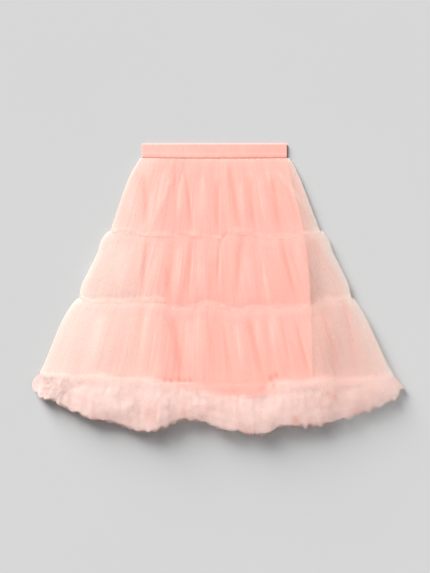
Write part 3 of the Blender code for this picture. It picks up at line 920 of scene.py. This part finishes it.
def ruffle_cover(layer, x, y, t, depth, puffs, ends, cloud, to_right, at_knob):
    """How closely a layer covers: in blotches, less at its upper edge and its rim, and more at the knob."""
    outward = np.clip(t, 0, 1)
    blotches = blend(puffs, large=0.35, middling=0.25, small=0.14, wisps=0.12)
    cover = layer.cover * (1 - 0.12 * to_right) * (0.6 + 0.4 * cloud)
    cover = cover * (1 + blotches * cloud * (0.2 + 0.8 * ends) + 0.2 * puffs.gathers * (1 - cloud))
    cover = cover * (cloud + (1 - cloud) * ease((t + 0.06) / 0.16))
    cover = cover * ease((t - layer.start) * depth / COVER_START)
    cover = cover * (1 - 0.3 * ease((outward - 0.94) / 0.06))
    return cover * (0.1 + 0.9 * side_cover(x, y)) * (1 + 0.8 * at_knob)


def ruffle_colour(layer, x, y, t, puffs, ends, cloud, to_right, at_knob):
    """How deep a layer's colour is: the tier's own over the seam, and its own in the cloud of net. Painted
    shade deepens it on the lower layers, at the rim and towards the right; painted highlights pale it on the
    large puffs and at the knob.
    """
    outward = np.clip(t, 0, 1)
    tone_with_painted_light = depth_with_painted_highlight(x, y)
    # The tier's painted crease shade, carried over the seam
    carried_crease_shade = 0.10 * crease_shape(TIER_3_CREASES, x, 0.90) / MM * (1 - ease(t / 0.5))
    at_hem = 0.70 * tone_with_painted_light - 1.6 * carried_crease_shade
    # Painted shade, deeper on the lower layers, towards the right and at the rim; a painted highlight on the
    # large puffs
    cloud_with_painted_light = layer.depth + 0.08 * puffs.wisps - 0.14 * puffs.large * ends + 0.15 * to_right
    cloud_with_painted_light = cloud_with_painted_light + 0.25 * ease((outward - 0.84) / 0.12)
    colour = at_hem * (1 - cloud) + cloud_with_painted_light * cloud + 0.3 * (tone_with_painted_light - 1) + patches(x, y)
    # Paler at the knob: a painted highlight where the light falls
    return np.clip(colour, 0, DEEPEST) - 0.12 * at_knob


def ruffle_calm(t, ends):
    """How calm a layer's shading is: more so at its seam, its rim and its ends."""
    at_rim = 0.76 + 0.18 * ease((np.clip(t, 0, 1) - 0.75) / 0.25)
    at_seam = 0.92 - 0.30 * ease((t - 0.10) / 0.35)
    return np.maximum(np.maximum(at_rim, 0.95 * (1 - ends)), at_seam)


def ruffle_layer(layer, seed):
    shape = ring(560, 16, 160)
    rows, columns = RUFFLE_ROWS, len(shape.share)
    t = np.linspace(layer.start, layer.reach, rows)[:, None]
    outward = np.clip(t, 0, 1)
    along = np.linspace(0, 1, len(RUFFLE_RIBS))
    root, edge_x, edge_y = (
        smooth_curve(shape.share, along, column(RUFFLE_RIBS, name)) * MM
        for name in ("root", "edge_across", "edge_down")
    )
    root_y = seam_line(HEM_SEAM, root)
    knob = KNOB * np.sin(math.pi * outward) * bell(shape.share, KNOB_SHARE)
    x = root + (edge_x - root) * outward - knob + RUFFLE_FOLD * shape.bulge
    y = root_y + (edge_y - root_y) * t

    puffs = Puffs(
        large=noise(seed, rows, columns, 3, 40),
        middling=billows(seed + 1, rows, columns, 5, 72),
        small=noise(seed + 2, rows, columns, 11, 150),
        wisps=noise(seed + 8, rows, columns, 4, 170),
        gathers=noise(seed + 6, rows, columns, 2, 190),
    )
    ends = ease(shape.share / LEFT_END) * ease((1 - shape.share) / RIGHT_END)
    rise = smooth_curve(x / MM, column(CLOUD_TOP, "across"), column(CLOUD_TOP, "rise")) * MM
    inside = (y - (root_y - rise)) / CLOUD_DEPTH
    cloud = ease(0.4 + inside + blend(puffs, large=0.35, middling=0.15))
    cloud = np.where(shape.turn > 0.4, 1, cloud)
    front, back = ruffle_heights(layer, shape, x, t, puffs, ends, cloud)

    teeth = noise(seed + 4, 2, columns, 1, 130)[0] + 0.7 * noise(seed + 5, 2, columns, 1, 260)[0]
    hanging = sum(tooth.drop * bell(edge_x / MM - tooth.across, tooth.half_width) for tooth in RUFFLE_TEETH)
    ragged = (2.2 * teeth * (0.2 + 0.8 * ends) + hanging) * MM * ease((outward - RIM_FROM) / (1 - RIM_FROM))
    swayed = (3.0 * noise(seed + 3, rows, columns, 4, 64) + 1.0 * puffs.small) * MM
    wander = (3.0 * noise(seed + 7, rows, columns, 3, 60) + 1.0 * puffs.small) * MM
    loose = cloud * (0.1 + 0.9 * ends)
    x = x + swayed * loose
    y = y + wander * loose + ragged - TUCK * ease(shape.turn) * outward
    points = place(x, y, wrapped(shape, front, RUFFLE_SIDE, back))

    to_right = ease((x - PAINTED_SHADE_FROM) / PAINTED_SHADE_OVER)
    at_knob = 1 - ease(shape.share / KNOB_CLOSER)
    depth = edge_y - root_y
    cover = ruffle_cover(layer, x, y, t, depth, puffs, ends, cloud, to_right, at_knob)
    colour = ruffle_colour(layer, x, y, t, puffs, ends, cloud, to_right, at_knob)
    # The attribute for the painted shade towards the right
    attributes = {"cover": covering(points, cover), "depth": colour, "dusk": PAINTED_SHADE_RIGHT * to_right}
    return closed_grid(layer.name, points, attributes, ruffle_calm(t, ends))


def nodes_of(material):
    material.use_nodes = True
    tree = material.node_tree
    return tree, tree.nodes["Principled BSDF"]


def arithmetic(tree, operation, first, second, clamp=False):
    node = tree.nodes.new("ShaderNodeMath")
    node.operation = operation
    node.use_clamp = clamp
    for socket, value in zip(node.inputs, (first, second)):
        if isinstance(value, bpy.types.NodeSocket):
            tree.links.new(value, socket)
        else:
            socket.default_value = value
    return node.outputs["Value"]


def set_surface(shader, roughness, gloss, sheen, sheen_roughness):
    shader.inputs["Roughness"].default_value = roughness
    shader.inputs["Specular IOR Level"].default_value = gloss
    shader.inputs["Sheen Weight"].default_value = sheen
    shader.inputs["Sheen Roughness"].default_value = sheen_roughness


def attribute(tree, name):
    node = tree.nodes.new("ShaderNodeAttribute")
    node.attribute_name = name
    return node.outputs["Fac"]


def coordinates(tree):
    return tree.nodes.new("ShaderNodeTexCoord").outputs["Object"]


def noise_texture(tree, scale, detail=2.0):
    node = tree.nodes.new("ShaderNodeTexNoise")
    node.inputs["Scale"].default_value = scale
    node.inputs["Detail"].default_value = detail
    tree.links.new(coordinates(tree), node.inputs["Vector"])
    return node.outputs["Fac"]


def cells_texture(tree, scale):
    """The distance to the nearest thread of an even net."""
    node = tree.nodes.new("ShaderNodeTexVoronoi")
    node.feature = "DISTANCE_TO_EDGE"
    node.inputs["Scale"].default_value = scale
    node.inputs["Randomness"].default_value = 0.95
    tree.links.new(coordinates(tree), node.inputs["Vector"])
    return node.outputs["Distance"]


def colour_mix(tree, factor, first, second):
    node = tree.nodes.new("ShaderNodeMix")
    node.data_type = "RGBA"
    tree.links.new(factor, node.inputs["Factor"])
    node.clamp_factor = False
    for socket, colour in ((node.inputs["A"], first), (node.inputs["B"], second)):
        if isinstance(colour, bpy.types.NodeSocket):
            tree.links.new(colour, socket)
        else:
            socket.default_value = (*colour, 1)
    return node.outputs["Result"]


def shader_mix(tree, factor, first, second):
    node = tree.nodes.new("ShaderNodeMixShader")
    if isinstance(factor, bpy.types.NodeSocket):
        tree.links.new(factor, node.inputs["Fac"])
    else:
        node.inputs["Fac"].default_value = factor
    for socket, shader in zip(node.inputs[1:], (first, second)):
        tree.links.new(shader, socket)
    return node.outputs["Shader"]


def bump(tree, shader, height, distance, strength):
    node = tree.nodes.new("ShaderNodeBump")
    node.inputs["Distance"].default_value = distance
    node.inputs["Strength"].default_value = strength
    tree.links.new(height, node.inputs["Height"])
    tree.links.new(node.outputs["Normal"], shader.inputs["Normal"])


# How many cells of net, and how many soft blotches, there are in a metre
NET_SCALE, MOTTLE_SCALE = 620, 26
# The colour of the painted shade
PAINTED_SHADE_COLOUR = (0.70, 0.60, 0.55)
# How much a net covers at its threads, and how much less further off, for each cell
NET_CLOSED, NET_OPENS = 1.22, 1.3


def net_material(name, pale, deep, through):
    """Soft net: a fine mesh of threads, from a pale to a deep colour, that passes on a share of the light."""
    material = bpy.data.materials.new(name)
    tree, shader = nodes_of(material)
    set_surface(shader, roughness=0.75, gloss=0.25, sheen=0.15, sheen_roughness=0.5)
    threads = cells_texture(tree, NET_SCALE)
    mottled = noise_texture(tree, MOTTLE_SCALE)
    # The depth attribute carries random tone and painted light and shade
    tone_with_painted_light = arithmetic(tree, "MULTIPLY", attribute(tree, "depth"), 0.9)
    factor = arithmetic(tree, "ADD", tone_with_painted_light, arithmetic(tree, "MULTIPLY", mottled, 0.1))
    colour = colour_mix(tree, factor, pale, deep)
    # Painted shade, mixed in by an attribute of the mesh
    colour = colour_mix(tree, attribute(tree, "dusk"), colour, PAINTED_SHADE_COLOUR)
    tree.links.new(colour, shader.inputs["Base Color"])
    bump(tree, shader, threads, 0.4 * MM, 0.25)

    passing = tree.nodes.new("ShaderNodeBsdfTranslucent")
    tree.links.new(colour, passing.inputs["Color"])
    cloth = shader_mix(tree, through, shader.outputs["BSDF"], passing.outputs["BSDF"])
    gap = tree.nodes.new("ShaderNodeBsdfTransparent")
    closed = arithmetic(tree, "SUBTRACT", NET_CLOSED, arithmetic(tree, "MULTIPLY", threads, NET_OPENS))
    alpha = arithmetic(tree, "MULTIPLY", attribute(tree, "cover"), closed, clamp=True)
    net = shader_mix(tree, alpha, gap.outputs["BSDF"], cloth)
    tree.links.new(net, tree.nodes["Material Output"].inputs["Surface"])
    return material


def woven_material(name, light, dark, paler, roughness, thread, shade):
    """Plain woven cloth, which an attribute of the mesh makes paler."""
    material = bpy.data.materials.new(name)
    tree, shader = nodes_of(material)
    set_surface(shader, roughness=roughness, gloss=0.3, sheen=0.2, sheen_roughness=0.4)
    weave = noise_texture(tree, thread, 3.0)
    mottled = arithmetic(tree, "MULTIPLY", noise_texture(tree, 30), 0.6)
    factor = arithmetic(tree, "ADD", mottled, arithmetic(tree, "MULTIPLY", weave, 0.3))
    woven = colour_mix(tree, factor, light, dark)
    tree.links.new(colour_mix(tree, attribute(tree, shade), woven, paler), shader.inputs["Base Color"])
    bump(tree, shader, weave, 0.3 * MM, 0.4)
    return material


FLOOR_HALF = 6.0
FLOOR_GREYS = (0.483, 0.483, 0.483), (0.493, 0.493, 0.493)


def floor():
    mesh = bpy.data.meshes.new("floor")
    corners = [(-FLOOR_HALF, -FLOOR_HALF, 0), (FLOOR_HALF, -FLOOR_HALF, 0)]
    corners += [(FLOOR_HALF, FLOOR_HALF, 0), (-FLOOR_HALF, FLOOR_HALF, 0)]
    mesh.from_pydata(corners, [], [(0, 1, 2, 3)])
    obj = bpy.data.objects.new("floor", mesh)
    bpy.context.scene.collection.objects.link(obj)
    material = bpy.data.materials.new("floor_paper")
    tree, shader = nodes_of(material)
    shader.inputs["Roughness"].default_value = 0.95
    shader.inputs["Specular IOR Level"].default_value = 0.0
    grain = noise_texture(tree, 3.0)
    tree.links.new(colour_mix(tree, grain, *FLOOR_GREYS), shader.inputs["Base Color"])
    obj.data.materials.append(material)


# The light of the room, and the strength, spread and direction of the one large soft light, in degrees
ROOM_LIGHT = 0.325
KEY_STRENGTH, KEY_SPREAD = 10.1, 34
KEY_TILT, KEY_TURN = -70.5, 34


def lights():
    world = bpy.data.worlds.new("studio")
    bpy.context.scene.world = world
    world.use_nodes = True
    background = world.node_tree.nodes["Background"]
    background.inputs["Color"].default_value = (1, 1, 1, 1)
    background.inputs["Strength"].default_value = ROOM_LIGHT
    key = bpy.data.lights.new("key", "SUN")
    key.energy = KEY_STRENGTH
    key.angle = math.radians(KEY_SPREAD)
    obj = bpy.data.objects.new("key", key)
    obj.rotation_euler = (math.radians(KEY_TILT), 0, math.radians(KEY_TURN))
    bpy.context.scene.collection.objects.link(obj)


# The pixel of the photo that the middle of the waistband's upper edge lies on
WAIST_PIXEL = (214.5, 143.3)
LENS, SENSOR = 100, 36
# The height off the surface at which a pixel of the photo has its true size
TRUE_HEIGHT = 20 * MM


def camera():
    """Straight above the skirt, far enough for a long lens, with the photo's frame."""
    centre_x = MIDDLE + (PHOTO_WIDTH / 2 - WAIST_PIXEL[0]) * PIXEL
    centre_y = WAIST - (PHOTO_HEIGHT / 2 - WAIST_PIXEL[1]) * PIXEL
    data = bpy.data.cameras.new("camera")
    data.lens = LENS
    data.sensor_width = SENSOR
    data.clip_end = 20
    obj = bpy.data.objects.new("camera", data)
    obj.location = (centre_x, centre_y, TRUE_HEIGHT + PHOTO_HEIGHT * PIXEL * LENS / SENSOR)
    bpy.context.scene.collection.objects.link(obj)
    bpy.context.scene.camera = obj


def finish_piece(piece, material, replaces):
    piece.data.materials.append(material)
    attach(piece, "root")
    if replaces:
        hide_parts(*replaces)


camera()
lights()
floor()
bpy.context.scene.view_settings.view_transform = "Standard"
bpy.context.scene.cycles.transparent_max_bounces = 40

TULLE = net_material("tulle", pale=(0.98, 0.88, 0.81), deep=(0.97, 0.66, 0.58), through=0.3)
RUFFLE_TULLE = net_material("ruffle_tulle", pale=(0.98, 0.82, 0.77), deep=(0.97, 0.62, 0.54), through=0.35)
# The band's attribute mixes in the paler colour for a painted highlight along the stitching, and darkens away
# from it for its lower seam edge and for painted shade towards the right
BAND = woven_material(
    "band_satin",
    light=(0.86, 0.46, 0.40),
    dark=(0.80, 0.36, 0.30),
    paler=(0.90, 0.56, 0.50),
    roughness=0.45,
    thread=2400,
    shade="stitched",
)
LINING = woven_material(
    "lining_cloth",
    light=(0.87, 0.37, 0.31),
    dark=(0.83, 0.32, 0.27),
    paler=(0.93, 0.66, 0.58),
    roughness=0.55,
    thread=2600,
    shade="edge",
)

both = ("waistband_front", "waistband_back")
finish_piece(waistband(), BAND, both)
both = ("lining_front", "lining_back")
finish_piece(lining(), LINING, both)
for tier in TIERS:
    both = (f"tier_{tier.number}_front", f"tier_{tier.number}_back")
    for net in NETS:
        replaced = both if net.inward == 0 else ()
        finish_piece(tier_net(tier, net), TULLE, replaced)
for tier, tier_above in zip(TIERS[1:], TIERS):
    replaced = (f"heading_{tier.number}",)
    finish_piece(heading(tier, tier_above), TULLE, replaced)
both = ("hem_ruffle_front", "hem_ruffle_back")
for number, layer in enumerate(RUFFLE_LAYERS):
    piece = ruffle_layer(layer, RUFFLE_SEED + 10 * number)
    replaced = both if number == 0 else ()
    finish_piece(piece, RUFFLE_TULLE, replaced)
